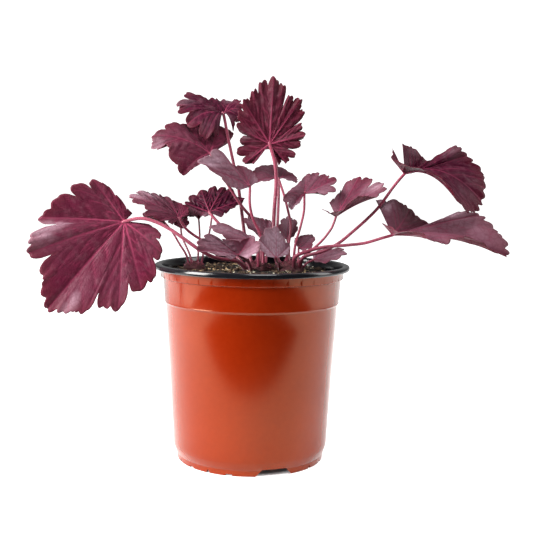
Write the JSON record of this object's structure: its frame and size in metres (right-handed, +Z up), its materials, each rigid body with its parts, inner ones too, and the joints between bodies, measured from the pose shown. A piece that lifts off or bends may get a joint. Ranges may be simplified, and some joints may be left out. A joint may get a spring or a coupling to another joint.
{
  "type": "potted heuchera",
  "caption": "Young heuchera with dark purple ruffled leaves on red stalks, in a round terracotta-coloured plastic nursery pot full of potting mix.",
  "frame": {"origin": "on the surface it stands on, under the middle of the whole plant's box, 17.6 mm to the +X side of the middle of the pot's foot circle", "axes": "+Z up out of the pot, -Y towards the viewer of the picture, +X to that viewer's right"},
  "size_m": [0.3975, 0.165, 0.3222],
  "materials": {
    "terracotta_plastic": "satin",
    "potting_mix": "matte",
    "crown_skin": "matte",
    "leaf_skin": "satin"
  },
  "bodies": {
    "root": {"pot": "terracotta_plastic", "soil": "potting_mix", "crown_middle": "crown_skin", "crown_left": "crown_skin", "crown_right": "crown_skin", "leaf_left_large": "leaf_skin", "leaf_left_fan": "leaf_skin", "leaf_left_low": "leaf_skin", "leaf_left_small": "leaf_skin", "leaf_left_arch": "leaf_skin", "leaf_back_left": "leaf_skin", "leaf_dark_fan": "leaf_skin", "leaf_top_left": "leaf_skin", "leaf_upper_left": "leaf_skin", "leaf_wing": "leaf_skin", "leaf_bridge": "leaf_skin", "leaf_top_middle": "leaf_skin", "leaf_back_top": "leaf_skin", "leaf_mid_strip": "leaf_skin", "leaf_front_left": "leaf_skin", "leaf_front_right": "leaf_skin", "leaf_right_small": "leaf_skin", "leaf_back_right": "leaf_skin", "leaf_back_middle": "leaf_skin", "leaf_back_low": "leaf_skin", "leaf_right_centre": "leaf_skin", "leaf_right_folded": "leaf_skin", "leaf_right_upper": "leaf_skin", "leaf_right_lower": "leaf_skin", "leaf_right_rim": "leaf_skin"}
  },
  "joints": []
}
